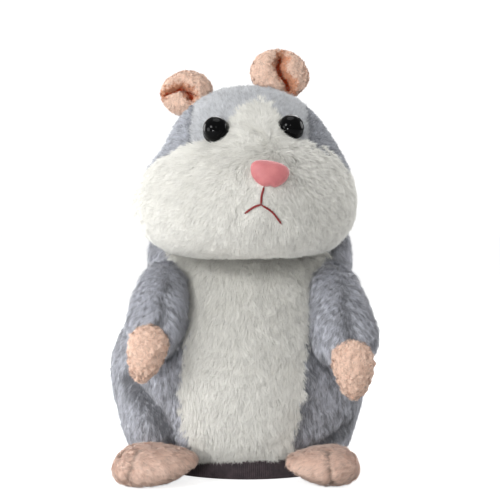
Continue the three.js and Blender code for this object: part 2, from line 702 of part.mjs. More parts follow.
// Stitched mouth: a short upright with two drooping arms, just in front of the muzzle.
function mouthThread() {
  const strand = (...spots) => {
    const path = new THREE.CatmullRomCurve3(spots.map((spot) => new THREE.Vector3(...spot)));
    const round = new THREE.Shape().absarc(0, 0, THREAD.radius, 0, 2 * Math.PI, false);
    return solid(new THREE.ExtrudeGeometry(round, { extrudePath: path, steps: 8, curveSegments: 4 }));
  };
  const { front } = THREAD;
  return join(
    strand([2.4, front - 0.2, 21.6], [1.6, front, 19], [1.2, front, 16.4]),
    strand([1.5, front, 17], [-1, front + 0.4, 14.8], [-4.4, front + 1.2, 12.8]),
    strand([1, front, 17], [4.6, front + 0.6, 13.6], [7.6, front + 1.6, 9.6]),
  );
}

place('head_core', headCore(), whitePlastic(), head);
place('core_screw_left', coreScrew(-CORE_SCREW.x), steel(), head);
place('core_screw_right', coreScrew(CORE_SCREW.x), steel(), head);
place('head_skin', headSkin(), greyPlush(), head);
for (const bead of beads) {
  place(`eye_${bead.name}`, eye(bead), blackGloss(), head);
  place(`eye_washer_${bead.name}`, washer(bead), whitePlastic(), head);
}
place('nose', nose(), pinkNose(), head);
place('nose_washer', washer(NOSE_WASHER), whitePlastic(), head);
place('mouth_thread', mouthThread(), redThread(), head);
for (const [side, values] of Object.entries(EARS)) {
  place(`ear_${side}`, ear(values).subtract(headGrown), peachPlush(), head);
}

// ---------------------------------------------------------------- torso, arms and feet

// Arm as a chain of balls joined by tapered hulls.
function arm({ path, radii }, grow = 0) {
  const ball = (spot, radius) => ellipsoid(spot, [radius + grow, radius * 0.86 + grow, radius + grow], [0, 0, 0], 14);
  const balls = path.map((spot, index) => ball(spot, radii[index]));
  const links = balls.slice(1).map((next, index) => wasm.Manifold.hull([balls[index], next]));
  return join(...links);
}

function paw({ paw: { at, size, tilt } }, grow = 0) {
  return ellipsoid(at, size.map((value) => value + grow), [0, THREE.MathUtils.degToRad(tilt), 0], 14);
}

// Round seat in the torso that lets the top of the arm turn about its own centre.
function shoulderSeat({ shoulder, radii }) {
  const reach = radii[0] + 1.5 * GAP;
  return ellipsoid(shoulder, [reach, reach, reach]);
}

const bodyOuter = loft(BODY_SECTIONS);
const SLOPE = Math.tan(PIVOT.limit * 1.06);
// The lower fabric closes in over the tub by this much, and leaves the front of the base's band bare.
const NARROW = 6;
const BAND = { left: -19, right: 16, back: -20, top: 5.6 };

function torsoSkin() {
  const upper = bodyOuter.intersect(box([-WIDE, -WIDE, PIVOT.z], [WIDE, WIDE, NECK]));
  const well = post(0, 2, PIVOT.z - OVERRUN, NECK, WELL_RADIUS, 32);
  const arms = Object.values(ARMS);
  return cut(upper, well, ...arms.map((values) => arm(values, GAP)), ...arms.map(shoulderSeat));
}

// A body at both ends and in the middle of the nod, about the axle.
function swept(body) {
  const tilt = THREE.MathUtils.radToDeg(PIVOT.limit);
  return [-tilt, 0, tilt].map((angle) => body
    .translate(0, -PIVOT.y, -PIVOT.z).rotate(angle, 0, 0).translate(0, PIVOT.y, PIVOT.z));
}

// Wrap round the chassis, with a ridged top that leaves the torso room to nod.
function lowerSkin() {
  const reach = 60;
  const ridge = new THREE.Shape([
    [-reach, -OVERRUN], [reach, -OVERRUN], [reach, PIVOT.z - GAP - reach * SLOPE], [0, PIVOT.z - GAP],
    [-reach, PIVOT.z - GAP - reach * SLOPE],
  ].map(([y, z]) => new THREE.Vector2(y, z)));
  const { x, y, halfX, halfY, high } = CHASSIS;
  const well = join(
    oval(x, y, 0, high + GAP, halfX + GAP, halfY + GAP),
    oval(x, y, high, PIVOT.z + OVERRUN, halfX - NARROW, halfY - NARROW),
  );
  const bandWindow = box([BAND.left, -WIDE, -OVERRUN], [BAND.right, BAND.back, BAND.top]);
  const arms = Object.values(ARMS).flatMap((values) => swept(arm(values, GAP).add(paw(values, GAP))));
  return cut(bodyOuter.intersect(plate(ridge, -WIDE, WIDE)), well, baseDisc(), bandWindow, ...arms);
}

function foot({ at, size, turn }) {
  const whole = ellipsoid(at, size, [0, 0, THREE.MathUtils.degToRad(turn)], 18);
  const floor = whole.intersect(box([-WIDE, -WIDE, 0], [WIDE, WIDE, BASE.height * 4]));
  return floor.subtract(loft(BODY_SECTIONS, GAP));
}

place('torso_skin', torsoSkin(), greyPlush());
place('lower_skin', lowerSkin(), greyPlush());
for (const [side, values] of Object.entries(ARMS)) {
  place(`arm_${side}`, arm(values), greyPlush());
  place(`paw_${side}`, paw(values).subtract(arm(values, GAP)), peachPlush());
}
for (const [side, values] of Object.entries(FEET)) {
  place(`foot_${side}`, foot(values).subtract(baseDisc()), peachPlush());
}

export default pet;
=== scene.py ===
"""Sitting plush pet: fur fabric skins, bead eyes, terry ears and paws over the CAD works."""
import json
import math

import bmesh
import bpy
import numpy as np
from mathutils import Euler, Matrix, Vector


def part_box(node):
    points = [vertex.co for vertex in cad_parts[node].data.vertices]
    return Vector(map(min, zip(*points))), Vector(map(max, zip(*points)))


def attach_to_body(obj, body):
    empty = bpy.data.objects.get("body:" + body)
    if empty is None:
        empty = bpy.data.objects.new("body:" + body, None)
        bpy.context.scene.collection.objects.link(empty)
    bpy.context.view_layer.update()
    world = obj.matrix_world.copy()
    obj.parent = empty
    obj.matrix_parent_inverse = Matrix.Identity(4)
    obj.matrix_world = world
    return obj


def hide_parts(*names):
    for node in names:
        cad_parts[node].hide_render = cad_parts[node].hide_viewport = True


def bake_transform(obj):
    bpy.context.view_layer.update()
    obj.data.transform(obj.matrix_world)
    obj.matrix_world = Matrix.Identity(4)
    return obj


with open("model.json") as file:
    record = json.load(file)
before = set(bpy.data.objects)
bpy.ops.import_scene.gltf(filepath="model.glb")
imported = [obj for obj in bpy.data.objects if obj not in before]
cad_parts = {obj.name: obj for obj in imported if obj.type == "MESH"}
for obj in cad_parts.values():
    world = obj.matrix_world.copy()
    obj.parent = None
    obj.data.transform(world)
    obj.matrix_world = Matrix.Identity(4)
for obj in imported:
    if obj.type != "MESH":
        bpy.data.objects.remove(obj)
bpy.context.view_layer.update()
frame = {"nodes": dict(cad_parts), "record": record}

MM = 0.001
# Share of the hairs that are made.
FUR = 1.0

# ---------------------------------------------------------------- camera and light


CAMERA = {"place": (0, -0.6, 0.11), "dip": 2.6, "lens": 112.5, "sensor": 36}
# Soft lights in metres and watts, all aimed at the middle of the pet.
AIM = (0, 0, 0.08)
LIGHTS = {
    "key": {"place": (-0.5, -0.56, 0.46), "size": 0.26, "energy": 2.3},
    "side": {"place": (-0.76, -0.36, 0.14), "size": 0.4, "energy": 1.9},
    "low": {"place": (-0.26, -0.58, 0.05), "size": 0.08, "energy": 0.9},
    "sparkle": {"place": (-0.02, -0.7, 0.42), "size": 0.05, "energy": 0.35},
    "rim_left": {"place": (-0.55, 0.3, 0.22), "size": 0.4, "energy": 2.3},
    "rim_right": {"place": (0.6, 0.2, 0.3), "size": 0.4, "energy": 1.8},
    "rim_top": {"place": (0.1, 0.6, 0.6), "size": 0.5, "energy": 3},
    "top": {"place": (0, -0.05, 0.8), "size": 0.5, "energy": 1.3},
}
# Strength of the white surroundings, as a light and as the backdrop in the picture.
SURROUNDINGS = {"light": 0.36, "backdrop": 1.1}


def make_camera():
    data = bpy.data.cameras.new("camera")
    data.lens = CAMERA["lens"]
    data.sensor_width = CAMERA["sensor"]
    camera = bpy.data.objects.new("camera", data)
    camera.location = CAMERA["place"]
    camera.rotation_euler = (math.radians(90 - CAMERA["dip"]), 0, 0)
    bpy.context.collection.objects.link(camera)
    bpy.context.scene.camera = camera


def area_light(name, place, size, energy):
    data = bpy.data.lights.new(name, "AREA")
    data.shape = "DISK"
    data.size = size
    data.energy = energy
    lamp = bpy.data.objects.new(name, data)
    lamp.location = place
    lamp.rotation_euler = (Vector(AIM) - Vector(place)).to_track_quat("-Z", "Y").to_euler()
    bpy.context.collection.objects.link(lamp)


def make_studio():
    scene = bpy.context.scene
    scene.view_settings.view_transform = "Standard"
    world = bpy.data.worlds.new("studio")
    world.use_nodes = True
    nodes, links = world.node_tree.nodes, world.node_tree.links
    soft = nodes["Background"]
    backdrop = nodes.new("ShaderNodeBackground")
    mix = nodes.new("ShaderNodeMixShader")
    rays = nodes.new("ShaderNodeLightPath")
    for source, strength in ((soft, SURROUNDINGS["light"]), (backdrop, SURROUNDINGS["backdrop"])):
        source.inputs["Color"].default_value = (1, 1, 1, 1)
        source.inputs["Strength"].default_value = strength
    links.new(rays.outputs["Is Camera Ray"], mix.inputs["Fac"])
    links.new(soft.outputs["Background"], mix.inputs[1])
    links.new(backdrop.outputs["Background"], mix.inputs[2])
    links.new(mix.outputs["Shader"], nodes["World Output"].inputs["Surface"])
    scene.world = world
    for name, light in LIGHTS.items():
        area_light(name, **light)


make_camera()
make_studio()

# ---------------------------------------------------------------- materials


class Look:
    """A node material with a Principled shader and helpers for procedural detail."""

    def __init__(self, name, colour, roughness=0.8, **sockets):
        self.material = bpy.data.materials.new(name)
        self.material.use_nodes = True
        self.nodes = self.material.node_tree.nodes
        self.links = self.material.node_tree.links
        self.shader = self.nodes["Principled BSDF"]
        self.set("Base Color", (*colour, 1))
        self.set("Roughness", roughness)
        for key, value in sockets.items():
            self.set(key.replace("_", " "), value)
        self.coordinates = None

    def set(self, socket, value):
        self.shader.inputs[socket].default_value = value

    def place(self):
        if self.coordinates is None:
            self.coordinates = self.nodes.new("ShaderNodeTexCoord").outputs["Object"]
        return self.coordinates

    def noise(self, scale, detail=4, stretch=(1, 1, 1)):
        mapping = self.nodes.new("ShaderNodeMapping")
        mapping.inputs["Scale"].default_value = stretch
        self.links.new(self.place(), mapping.inputs["Vector"])
        texture = self.nodes.new("ShaderNodeTexNoise")
        texture.inputs["Scale"].default_value = scale
        texture.inputs["Detail"].default_value = detail
        self.links.new(mapping.outputs["Vector"], texture.inputs["Vector"])
        return texture.outputs["Fac"]

    def wave(self, scale, direction):
        texture = self.nodes.new("ShaderNodeTexWave")
        texture.bands_direction = direction
        texture.inputs["Scale"].default_value = scale
        self.links.new(self.place(), texture.inputs["Vector"])
        return texture.outputs["Fac"]

    def ramp(self, value, low, high):
        ramp = self.nodes.new("ShaderNodeValToRGB")
        first, last = ramp.color_ramp.elements
        first.position, last.position = 0.3, 0.7
        first.color, last.color = (*low, 1), (*high, 1)
        self.links.new(value, ramp.inputs["Fac"])
        return ramp.outputs["Color"]

    def colour(self, value, low, high):
        self.links.new(self.ramp(value, low, high), self.shader.inputs["Base Color"])

    def rough(self, value, low, high):
        span = self.ramp(value, (low,) * 3, (high,) * 3)
        self.links.new(span, self.shader.inputs["Roughness"])

    def bump(self, value, strength=0.3, distance=0.0003):
        bump = self.nodes.new("ShaderNodeBump")
        bump.inputs["Strength"].default_value = strength
        bump.inputs["Distance"].default_value = distance
        self.links.new(value, bump.inputs["Height"])
        self.links.new(bump.outputs["Normal"], self.shader.inputs["Normal"])


def srgb(red, green, blue):
    def linear(value):
        value /= 255
        return value / 12.92 if value <= 0.04045 else ((value + 0.055) / 1.055) ** 2.4
    return tuple(linear(value) for value in (red, green, blue))


def shade(colour, factor):
    return tuple(min(1.0, value * factor) for value in colour)


GREY = srgb(201, 203, 211)
PALE_GREY = srgb(209, 211, 214)
SIDE_GREY = srgb(182, 185, 193)
WHITE = srgb(243, 242, 236)
PEACH = srgb(247, 216, 196)
FOOT = srgb(240, 211, 194)
CREASE = srgb(232, 104, 52)
FOLD = srgb(228, 168, 134)
# Tints of each kind of pile, dark to light, as shares of its colour. Tone picks among them, so the darker
# and lighter tints also carry painted shade and light wherever the tone is lowered or raised.
PLUSH = (0.4, 0.64, 0.86, 1.02, 1.14)
BROW = (0.74, 0.88, 1.0, 1.08)
SOFT = (0.88, 0.95, 1.0, 1.04)
TERRY = (0.7, 0.86, 0.98, 1.06)
EAR_FOLD = (0.8, 0.94, 1.06)
EAR_CREASE = (0.8, 1.0, 1.25)
SOLE = (0.66, 0.88, 1.02, 1.1)


def backing(name, colour):
    """Knitted backing of the fur fabric, seen between the roots."""
    look = Look(name, colour, 0.9, Sheen_Weight=0.3)
    look.colour(look.noise(900, 5), shade(colour, 0.72), shade(colour, 0.92))
    look.bump(look.noise(2600, 3), 0.5)
    return look.material


def pile(name, colour, spread):
    """Plain tints, dark to light, for the strands of one colour of fur."""
    looks = []
    for index, factor in enumerate(spread):
        look = Look(f"{name}_{index + 1}", shade(colour, factor), 0.7, Sheen_Weight=0.35)
        look.set("Specular IOR Level", 0.25)
        look.set("Sheen Roughness", 0.4)
        looks.append(look.material)
    return looks


# ---------------------------------------------------------------- surfaces


def track(rows, count):
    """Points along a uniform Catmull-Rom curve through rows of any width."""
    rows = np.array(rows, float)
    rows = np.vstack([2 * rows[0] - rows[1], rows, 2 * rows[-1] - rows[-2]])
    steps = np.linspace(0, len(rows) - 3, count)
    index = np.minimum(steps.astype(int), len(rows) - 4)
    part = (steps - index)[:, None]
    a, b, c, d = (rows[index + offset] for offset in range(4))
    return 0.5 * (2 * b + (c - a) * part + (2 * a - 5 * b + 4 * c - d) * part ** 2
                  + (3 * b - a - 3 * c + d) * part ** 3)


def loft(sections, rings=60, sides=96):
    """Closed round surface: rows of height, x, y, half width, front and back depth, squareness."""
    rows = track(sections, rings)
    angle = np.linspace(0, 2 * math.pi, sides, endpoint=False)
    cos, sin = np.cos(angle), np.sin(angle)
    points = []
    for height, x, y, width, front, back, square in rows:
        power = 2 / max(square, 1.2)
        reach = np.where(sin < 0, front, back)
        along = np.sign(cos) * np.abs(cos) ** power * max(width, 0.05)
        across = np.sign(sin) * np.abs(sin) ** power * np.maximum(reach, 0.05)
        points.append(np.stack([x + along, y + across, np.full(sides, height)], 1))
    return np.vstack(points), ring_faces(rings, sides)


def ring_faces(rings, sides):
    """Quads between rings of points, closed at both ends."""
    faces = []
    for low in range(0, (rings - 1) * sides, sides):
        high = low + sides
        for side in range(sides):
            following = (side + 1) % sides
            faces.append((low + side, low + following, high + following, high + side))
    faces.append(tuple(reversed(range(sides))))
    faces.append(tuple(range((rings - 1) * sides, rings * sides)))
    return faces


# Share of a limb's length that each of its ends takes to close.
ROUND_END = 0.22


def tube(path, radii, flat=1.0, rings=40, sides=40):
    """Round-ended limb along a path; flat is its depth over its width."""
    spine = track([(*spot, radius) for spot, radius in zip(path, radii)], rings)
    centre, radius = spine[:, :3], spine[:, 3]
    ahead = np.gradient(centre, axis=0)
    ahead /= np.linalg.norm(ahead, axis=1, keepdims=True)
    across = np.cross(ahead, (0, -1, 0))
    across /= np.linalg.norm(across, axis=1, keepdims=True)
    deep = np.cross(across, ahead)
    travel = np.linspace(0, 1, rings)
    close = np.minimum(1, np.minimum(travel, 1 - travel) / ROUND_END)
    radius = radius * np.sqrt(np.maximum(0.0004, 1 - (1 - close) ** 2))
    angle = np.linspace(0, 2 * math.pi, sides, endpoint=False)
    points = [c + r * (np.outer(np.cos(angle), x) + flat * np.outer(np.sin(angle), y))
              for c, r, x, y in zip(centre, radius, across, deep)]
    return np.vstack(points), ring_faces(rings, sides)


def mesh_object(name, points, faces, materials):
    """Smooth object from points in millimetres."""
    mesh = bpy.data.meshes.new(name)
    mesh.from_pydata((np.asarray(points) * MM).tolist(), [], faces)
    for material in materials:
        mesh.materials.append(material)
    mesh.polygons.foreach_set("use_smooth", [True] * len(mesh.polygons))
    mesh.update()
    piece = bpy.data.objects.new(name, mesh)
    bpy.context.collection.objects.link(piece)
    return piece


def fix_normals(piece):
    """Turns every face outwards."""
    work = bmesh.new()
    work.from_mesh(piece.data)
    bmesh.ops.recalc_face_normals(work, faces=work.faces)
    work.to_mesh(piece.data)
    work.free()


def baked(piece):
    """Replaces the piece's mesh with its evaluated one and drops the modifiers."""
    graph = bpy.context.evaluated_depsgraph_get()
    mesh = bpy.data.meshes.new_from_object(piece.evaluated_get(graph))
    piece.modifiers.clear()
    piece.data = mesh
    mesh.polygons.foreach_set("use_smooth", [True] * len(mesh.polygons))


def get_points(mesh, normals=False):
    count = len(mesh.vertices)
    flat = np.empty(count * 3)
    if normals:
        mesh.vertex_normals.foreach_get("vector", flat)
    else:
        mesh.vertices.foreach_get("co", flat)
    return flat.reshape(-1, 3)


def set_points(mesh, points):
    mesh.vertices.foreach_set("co", np.asarray(points, np.float32).ravel())
    mesh.update()


# Cloth simulation that puffs the skins.
PRESSURE = 4.0
FRAMES = 20


def stuffed(piece, voxel, cap):
    """Puffs a skin with a short cloth simulation, held within cap millimetres of its cut."""
    remesh = piece.modifiers.new("remesh", "REMESH")
    remesh.mode = "VOXEL"
    remesh.voxel_size = voxel * MM
    baked(piece)
    start = get_points(piece.data).copy()
    cloth = piece.modifiers.new("cloth", "CLOTH")
    cloth.settings.quality = 5
    cloth.settings.use_pressure = True
    cloth.settings.uniform_pressure_force = PRESSURE
    cloth.settings.effector_weights.gravity = 0
    cloth.point_cache.frame_start = 1
    cloth.point_cache.frame_end = FRAMES
    for step in range(1, FRAMES + 1):
        bpy.context.scene.frame_set(step)
    baked(piece)
    shift = get_points(piece.data) - start
    reach = np.linalg.norm(shift, axis=1, keepdims=True)
    shift *= np.minimum(1, cap * MM / np.maximum(reach, 1e-9))
    set_points(piece.data, start + shift)
    bpy.context.scene.frame_set(1)
    smooth = piece.modifiers.new("smooth", "SMOOTH")
    smooth.iterations = 4
    subdivision = piece.modifiers.new("subdivision", "SUBSURF")
    subdivision.levels = subdivision.render_levels = 2
    baked(piece)


def line_distance(points, line):
    """Distance of each point to a polyline."""
    best = np.full(len(points), 1e9)
    line = np.array(line, float)
    for a, b in zip(line[:-1], line[1:]):
        span = b - a
        part = np.clip((points - a) @ span / (span @ span), 0, 1)[:, None]
        best = np.minimum(best, np.linalg.norm(points - (a + part * span), axis=1))
    return best


# Distance from a crease's first point over which it deepens.
FADE = 13


def sculpt(piece, swells=(), creases=()):
    """Moves vertices along their normals: soft swells, and creases that deepen from their start."""
    points = get_points(piece.data) / MM
    normals = get_points(piece.data, normals=True)
    push = np.zeros(len(points))
    for centre, radius, amount in swells:
        push += amount * np.exp(-np.sum((points - centre) ** 2, axis=1) / radius ** 2)
    for line, width, depth in creases:
        fade = np.clip(0.2 + np.linalg.norm(points - line[0], axis=1) / FADE, 0, 1)
        push -= fade * depth * np.exp(-(line_distance(points, line) / width) ** 2)
    set_points(piece.data, (points + normals * push[:, None]) * MM)


# ---------------------------------------------------------------- fur


def waves(points, scale, seed, count=7):
    """Smooth noise of about -1 to 1, from a few sine waves with the given wavelength."""
    rng = np.random.default_rng(seed)
    total = np.zeros(len(points))
    for _ in range(count):
        heading = rng.normal(size=3)
        heading *= rng.uniform(0.7, 1.4) * 2 * math.pi / (scale * np.linalg.norm(heading))
        total += np.sin(points @ heading + rng.uniform(0, 2 * math.pi))
    return total / math.sqrt(count)


def scatter(piece, density, rng):
    """Random points, in millimetres, and normals on a piece's surface."""
    mesh = piece.data
    mesh.calc_loop_triangles()
    corners = np.empty(len(mesh.loop_triangles) * 3, np.int32)
    mesh.loop_triangles.foreach_get("vertices", corners)
    corners = corners.reshape(-1, 3)
    points = get_points(mesh) / MM
    normals = get_points(mesh, normals=True)
    a, b, c = (points[corners[:, index]] for index in range(3))
    area = np.linalg.norm(np.cross(b - a, c - a), axis=1) / 2
    count = int(area.sum() * density * FUR)
    chosen = rng.choice(len(corners), count, p=area / area.sum())
    u, v = np.sqrt(rng.random(count)), rng.random(count)
    weights = np.stack([1 - u, u * (1 - v), u * v], 1)[:, :, None]
    picked = corners[chosen]
    normal = (normals[picked] * weights).sum(1)
    normal /= np.linalg.norm(normal, axis=1, keepdims=True)
    return (points[picked] * weights).sum(1), normal


def mottle(points, seed, wide=9, fine=1.5):
    """Tone of 0 to 1 that drifts over the pile in streaks, as the clumps turn to and from the light."""
    streaks = points * (1, 1, 0.4)
    return 0.56 + 0.08 * waves(points, wide, seed) + 0.26 * waves(streaks, fine, seed + 1)


def two_tone(piece, second, chosen):
    """Gives the faces whose centres pass the test a second backing."""
    mesh = piece.data
    mesh.materials.append(second)
    flat = np.empty(len(mesh.polygons) * 3)
    mesh.polygons.foreach_get("center", flat)
    picked = chosen(flat.reshape(-1, 3) / MM)
    mesh.polygons.foreach_set("material_index", picked.astype(np.int32))
    mesh.update()


def tangent(field, normals):
    flat = field - (field * normals).sum(1, keepdims=True) * normals
    return flat / np.maximum(np.linalg.norm(flat, axis=1, keepdims=True), 1e-6)


# Shares of a hair's length at its root, bend and tip, and the corners of its quad and triangle.
STEPS = (0.0, 0.55, 1.0)
LOOP = np.array([0, 1, 3, 2, 2, 3, 4])
# Pile that would reach lower than this lies flat on the table.
TABLE = 0.15
# Hairs for each square millimetre.
HEAD_DENSITY = 14
BODY_DENSITY = 13
FLEECE_DENSITY = 20
FOOT_DENSITY = 15
# Widths of a hair of fur and of fleece, and the most hairs in one piece.
HAIR = 0.15
CURL = 0.3
MOST = 64000


def strands(name, roots, normals, comb, length, tone, width, lean, materials, rng, curl, tuft):
    """Flat tapered hairs that bend towards the comb direction, with tints picked by tone."""
    soft = 0.85 if curl else 0.5
    count = len(roots)
    side = np.cross(comb, normals)
    twist = rng.normal(0, 0.35, count)[:, None]
    lean = (lean + tuft * waves(roots, 2.6, 2) + rng.normal(0, 0.12, count))[:, None]
    swing = rng.normal(0, 0.2, count)[:, None]
    heading = comb * np.cos(swing) + side * np.sin(swing)
    length = (length * rng.uniform(0.8, 1.12, count))[:, None]
    rows, faces_out = [], []
    for step in STEPS:
        bend = lean * (0.55 + 0.6 * step)
        spot = roots + length * step * (normals * np.cos(bend) + heading * np.sin(bend))
        if curl:
            spot = spot + side * (curl * np.sin(step * 5 + twist * 6))
        rows.append(spot)
        faces_out.append(normals * np.sin(bend) - heading * np.cos(bend))
    flat = side * np.cos(twist) + normals * np.sin(twist)
    half = np.full((count, 1), width / 2)
    verts = [rows[0] - flat * half, rows[0] + flat * half,
             rows[1] - flat * half * 0.8, rows[1] + flat * half * 0.8, rows[2]]
    verts = np.stack(verts, 1).reshape(-1, 3)
    verts[:, 2] = np.maximum(verts[:, 2], TABLE)
    verts *= MM
    shading = [normals * soft + faces_out[step] * (1 - soft) for step in (0, 0, 1, 1, 2)]
    shading = np.stack(shading, 1).reshape(-1, 3)
    shading /= np.maximum(np.linalg.norm(shading, axis=1, keepdims=True), 1e-6)
    loops = (LOOP[None, :] + 5 * np.arange(count)[:, None]).ravel()
    starts = (np.array([0, 4])[None, :] + 7 * np.arange(count)[:, None]).ravel()
    tint = (tone + rng.normal(0, 0.22, count)) * len(materials)
    tint = np.clip(tint, 0, len(materials) - 1).astype(int)
    mesh = bpy.data.meshes.new(name)
    mesh.vertices.add(len(verts))
    mesh.vertices.foreach_set("co", verts.astype(np.float32).ravel())
    mesh.loops.add(len(loops))
    mesh.loops.foreach_set("vertex_index", loops.astype(np.int32))
    mesh.polygons.add(len(starts))
    mesh.polygons.foreach_set("loop_start", starts.astype(np.int32))
    for material in materials:
        mesh.materials.append(material)
    mesh.polygons.foreach_set("material_index", np.repeat(tint, 2).astype(np.int32))
    mesh.polygons.foreach_set("use_smooth", np.ones(len(starts), bool))
    mesh.update(calc_edges=True)
    mesh.normals_split_custom_set_from_vertices(shading.astype(np.float32))
    piece = bpy.data.objects.new(name, mesh)
    bpy.context.collection.objects.link(piece)
    return piece


def coat(name, roots, normals, comb, length, tone, width, lean, materials, rng, attach,
         curl=0.0, tuft=0.0):
    """A fur in as many pieces as the limit on hairs needs, each attached the same way."""
    parts = max(1, math.ceil(len(roots) / MOST))
    for part in range(parts):
        pick = slice(part, None, parts)
        attach(strands(f"{name}_{part + 1}", roots[pick], normals[pick], comb[pick], length[pick],
                       tone[pick], width, lean, materials, rng, curl, tuft))


# ---------------------------------------------------------------- placing on the CAD frame

RIDES = {
    "head": lambda piece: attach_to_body(piece, "upper"),
    "base": lambda piece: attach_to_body(piece, "base"),
    "left": lambda piece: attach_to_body(piece, "arm_left_body"),
    "right": lambda piece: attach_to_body(piece, "arm_right_body"),
    # The body's fabric sits between the fixed base and the nodding torso, and is left in place, attached
    # to neither.
    "body": lambda piece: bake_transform(piece),
}


def stand(place, turn):
    """Placing matrix from millimetres and degrees about x, y and z."""
    angles = Euler([math.radians(angle) for angle in turn])
    return Matrix.Translation(Vector(place)) @ angles.to_matrix().to_4x4()


# The head stands on the neck, turned a little to one side and tipped.
NECK = 84
HEAD_FRAME = stand((0, 0, NECK), (0, 0, 5)) @ stand((0, 0, 0), (0, -1.5, 0))


def moved(points, matrix):
    """Points turned and shifted by a 4x4 matrix."""
    grid = np.array(matrix)
    return np.asarray(points, float) @ grid[:3, :3].T + grid[:3, 3]


def centre(node):
    low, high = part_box(node)
    return (np.array(low) + np.array(high)) / 2 / MM


def on_front(piece, x, z, lift=0.0):
    """Point on the front of a piece at x and z in millimetres, lifted along its normal."""
    hit, spot, normal, _ = piece.ray_cast(Vector((x * MM, -0.2, z * MM)), Vector((0, 1, 0)))
    if not hit:
        raise RuntimeError(f"nothing of {piece.name} in front of {x}, {z}")
    return np.array(spot) / MM + np.array(normal) * lift


# ---------------------------------------------------------------- head

HEAD_CUT = [
    (-1.5, 0, -6, 0, 0, 0, 2.0),
    (-1.3, -0.4, -6, 22, 28, 20, 2.3),
    (1.5, -0.4, -6, 30.5, 38, 30, 2.35),
    (8, -1.5, -5, 37.5, 44, 35, 2.4),
    (17, -1.6, -4, 40.4, 46, 37, 2.3),
    (28, -0.5, -3, 37.6, 44.5, 37.5, 2.15),
    (38, 0.7, -2, 31.8, 38, 36, 2.1),
    (48, 0.2, 0, 26.4, 29.5, 31, 2.0),
    (55, 0, 1, 20, 21, 22, 2.0),
    (59.6, 0, 2, 10.5, 11, 11, 2.0),
    (60.6, 0, 2, 0, 0, 0, 2.0),
]
# Upper edge of the white face as x and z, from the left cheek over the blaze to the right cheek.
FACE_EDGE = [
    (-60, 110), (-39.5, 111.5), (-33, 117.5), (-27, 120.5), (-20.6, 123), (-12.5, 124.4), (-8, 126),
    (-7.2, 130), (-4.5, 133), (-0.8, 136.3), (3.7, 138.4), (7.4, 136.8), (9.6, 134), (11.4, 130),
    (14, 126), (18, 123.6), (21.2, 121.8), (27.6, 119.6), (31.8, 116.6), (35.4, 112.6), (60, 110),
]
# Side seams of the pale forehead, in x.
FOREHEAD = (-20.8, 20.6)
# Mouth stitches as x and z: from the nose down to the fork, then out to either side.
MOUTH = [
    [(4.9, 107.2), (4.1, 104.1), (3.9, 101.1)],
    [(3.9, 101.1), (1.2, 100.1), (-1.8, 97.9)],
    [(3.9, 101.1), (7.8, 98.4), (11.1, 94.2)],
]
# Depth of a bead's middle behind the front of its CAD node, and the y of the front of the nose.
EYE_SINK = 7.9
NOSE_FRONT = -52


def above_face(points):
    """How far above the upper edge of the white face each point is, in z."""
    edge = np.array(FACE_EDGE)
    return points[:, 2] - np.interp(points[:, 0], edge[:, 0], edge[:, 1])


def eye_seat(side):
    """Middle of a bead, sunk into the fabric behind the front of its CAD node."""
    low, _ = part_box(f"eye_{side}")
    place = centre(f"eye_{side}") + (-0.5, 0, -0.6)
    place[1] = low[1] / MM + EYE_SINK
    return place


def cheek(points):
    """Ahead of the rounded hind edge of the white face panel, or on its blaze."""
    hind = 6 - 0.03 * np.maximum(points[:, 2] - 88, 0) ** 2
    return (points[:, 1] < hind) | ((np.abs(points[:, 0]) < 18) & (points[:, 1] < -10))


def make_head():
    points, faces = loft(HEAD_CUT)
    skin = mesh_object("head_fabric", moved(points, HEAD_FRAME), faces,
                       [backing("head_backing", PALE_GREY)])
    stuffed(skin, voxel=4.5, cap=1.6)
    left, right = centre("eye_left"), centre("eye_right")
    sculpt(
        skin,
        swells=[
            ((-29, -24, 96), 15, 1.6), ((-39, -14, 101), 15, 1.9), ((28, -24, 97), 15, 1.8),
            ((5, -48, 107), 11, 3.4), ((5, -36, 126), 10, 1.0),
            (left + (0, -1, -4), 8, -1.4), (right + (0, -1, -4), 8, -1.4),
        ],
        creases=[
            ([(FOREHEAD[0], -36, 122), (FOREHEAD[0], -26, 132), (FOREHEAD[0], -8, 138)], 1.3, 1.2),
            ([(FOREHEAD[1] + 1.5, -36, 122), (FOREHEAD[1], -26, 133), (FOREHEAD[1], -8, 139)], 1.3, 1.2),
            ([(4.2, -60, 92), (4, -56, 86)], 2.2, 0.8),
        ],
    )
    two_tone(skin, backing("face_backing", WHITE), lambda spots: (above_face(spots) < 0) & cheek(spots))
    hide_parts("head_skin")
    RIDES["head"](skin)
    return skin


def mouth_lines(skin):
    """The mouth's three stitched lines, laid on the muzzle."""
    lines = []
    for start, middle, end in MOUTH:
        flat = track([start, middle, end], 9)
        lines.append([on_front(skin, x, z, lift=0.5) for x, z in flat])
    return lines


